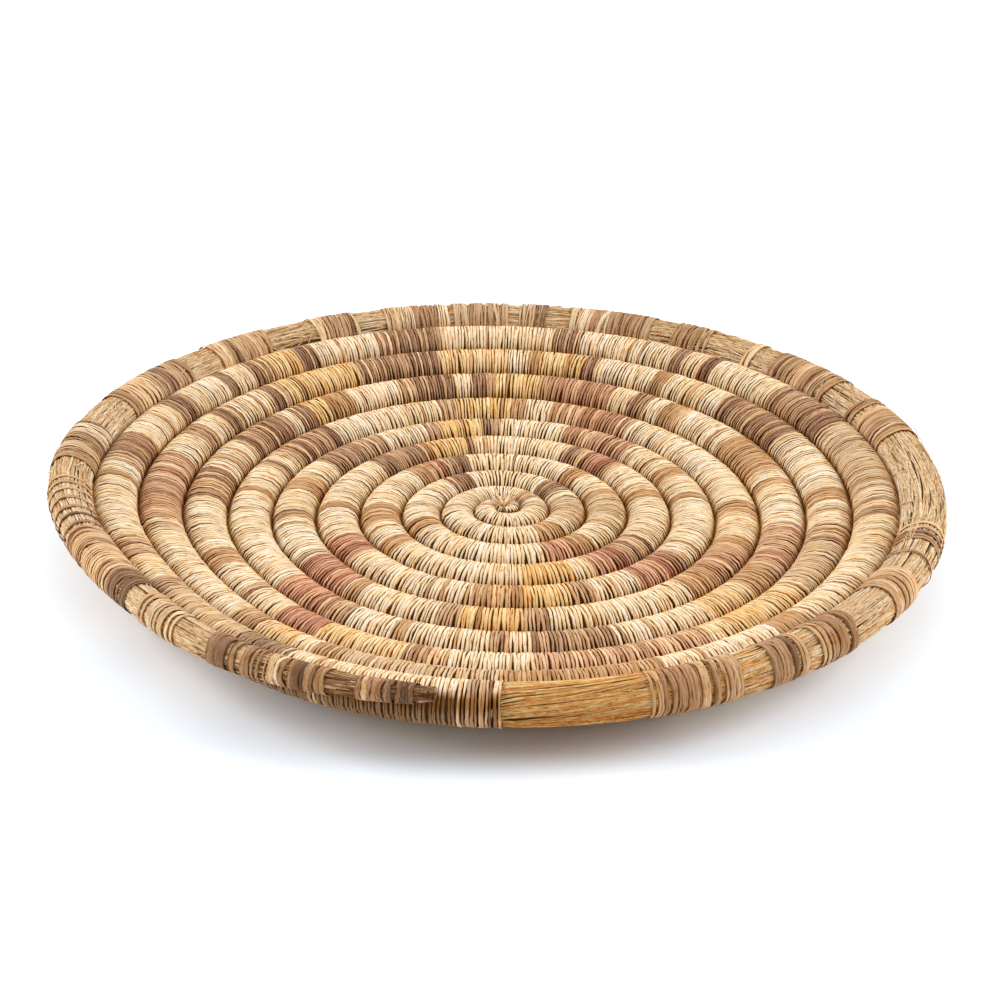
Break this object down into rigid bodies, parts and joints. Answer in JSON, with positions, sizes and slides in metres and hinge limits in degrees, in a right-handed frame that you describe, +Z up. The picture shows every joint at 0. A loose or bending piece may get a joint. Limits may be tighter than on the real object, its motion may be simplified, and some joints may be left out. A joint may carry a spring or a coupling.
{
  "type": "coiled basket plaque",
  "caption": "Shallow round coiled basket plaque: a grass coil sewn with leaf strips in a four-armed whirling pattern, with a bare lashed rim.",
  "frame": {"origin": "middle of the footprint's box, on the surface that the plaque stands on", "axes": "+Z up out of the dish; -Y towards the end of the rim's tail, the side that the picture takes as front; +X to the right seen from there"},
  "size_m": [0.3958, 0.3912, 0.0394],
  "materials": {
    "natural_strip": "split leaf strip, straw coloured, matt with a faint sheen on its crown",
    "brown_strip": "split leaf strip, dyed brown and faded",
    "red_brown_strip": "split leaf strip, dyed red-brown and faded",
    "red_strip": "split leaf strip, dyed dull red and faded",
    "lashing_strip": "split leaf strip, aged grey-tan, worn and part loose",
    "bare_grass": "bundle of bare dried grass stalks, golden to brown, satin",
    "inner_grass": "bundle of dried grass stalks inside the coil, matt",
    "knot_strip": "crossed leaf strips of the start knot, matt"
  },
  "bodies": {
    "root": {"foundation_bundle": "inner_grass", "rim_bundle": "bare_grass", "sewing_01_natural": "natural_strip", "sewing_02_red": "red_strip", "sewing_03_natural": "natural_strip", "sewing_04_red": "red_strip", "sewing_05_natural": "natural_strip", "sewing_06_red_brown": "red_brown_strip", "sewing_07_natural": "natural_strip", "sewing_08_brown": "brown_strip", "sewing_09_natural": "natural_strip", "sewing_10_red": "red_strip", "sewing_11_natural": "natural_strip", "sewing_12_red_brown": "red_brown_strip", "sewing_13_natural": "natural_strip", "sewing_14_red_brown": "red_brown_strip", "sewing_15_natural": "natural_strip", "sewing_16_brown": "brown_strip", "sewing_17_natural": "natural_strip", "sewing_18_red": "red_strip", "sewing_19_natural": "natural_strip", "sewing_20_red_brown": "red_brown_strip", "sewing_21_natural": "natural_strip", "sewing_22_red_brown": "red_brown_strip", "sewing_23_natural": "natural_strip", "sewing_24_brown": "brown_strip", "sewing_25_natural": "natural_strip", "sewing_26_red": "red_strip", "sewing_27_natural": "natural_strip", "sewing_28_red_brown": "red_brown_strip", "sewing_29_natural": "natural_strip", "sewing_30_brown": "brown_strip", "sewing_31_natural": "natural_strip", "sewing_32_brown": "brown_strip", "sewing_33_natural": "natural_strip", "sewing_34_red_brown": "red_brown_strip", "sewing_35_natural": "natural_strip", "sewing_36_brown": "brown_strip", "sewing_37_natural": "natural_strip", "sewing_38_brown": "brown_strip", "sewing_39_natural": "natural_strip", "sewing_40_brown": "brown_strip", "sewing_41_natural": "natural_strip", "sewing_42_brown": "brown_strip", "sewing_43_natural": "natural_strip", "rim_lashing_01": "lashing_strip", "rim_lashing_02": "lashing_strip", "rim_lashing_03": "lashing_strip", "rim_lashing_04": "lashing_strip", "rim_lashing_05": "lashing_strip", "rim_lashing_06": "lashing_strip", "rim_lashing_07": "lashing_strip", "rim_lashing_08": "lashing_strip", "rim_lashing_09": "lashing_strip", "rim_lashing_10": "lashing_strip", "rim_lashing_11": "lashing_strip", "rim_lashing_12": "lashing_strip", "rim_lashing_13": "lashing_strip", "rim_lashing_14": "lashing_strip", "start_knot": "knot_strip"}
  },
  "joints": []
}
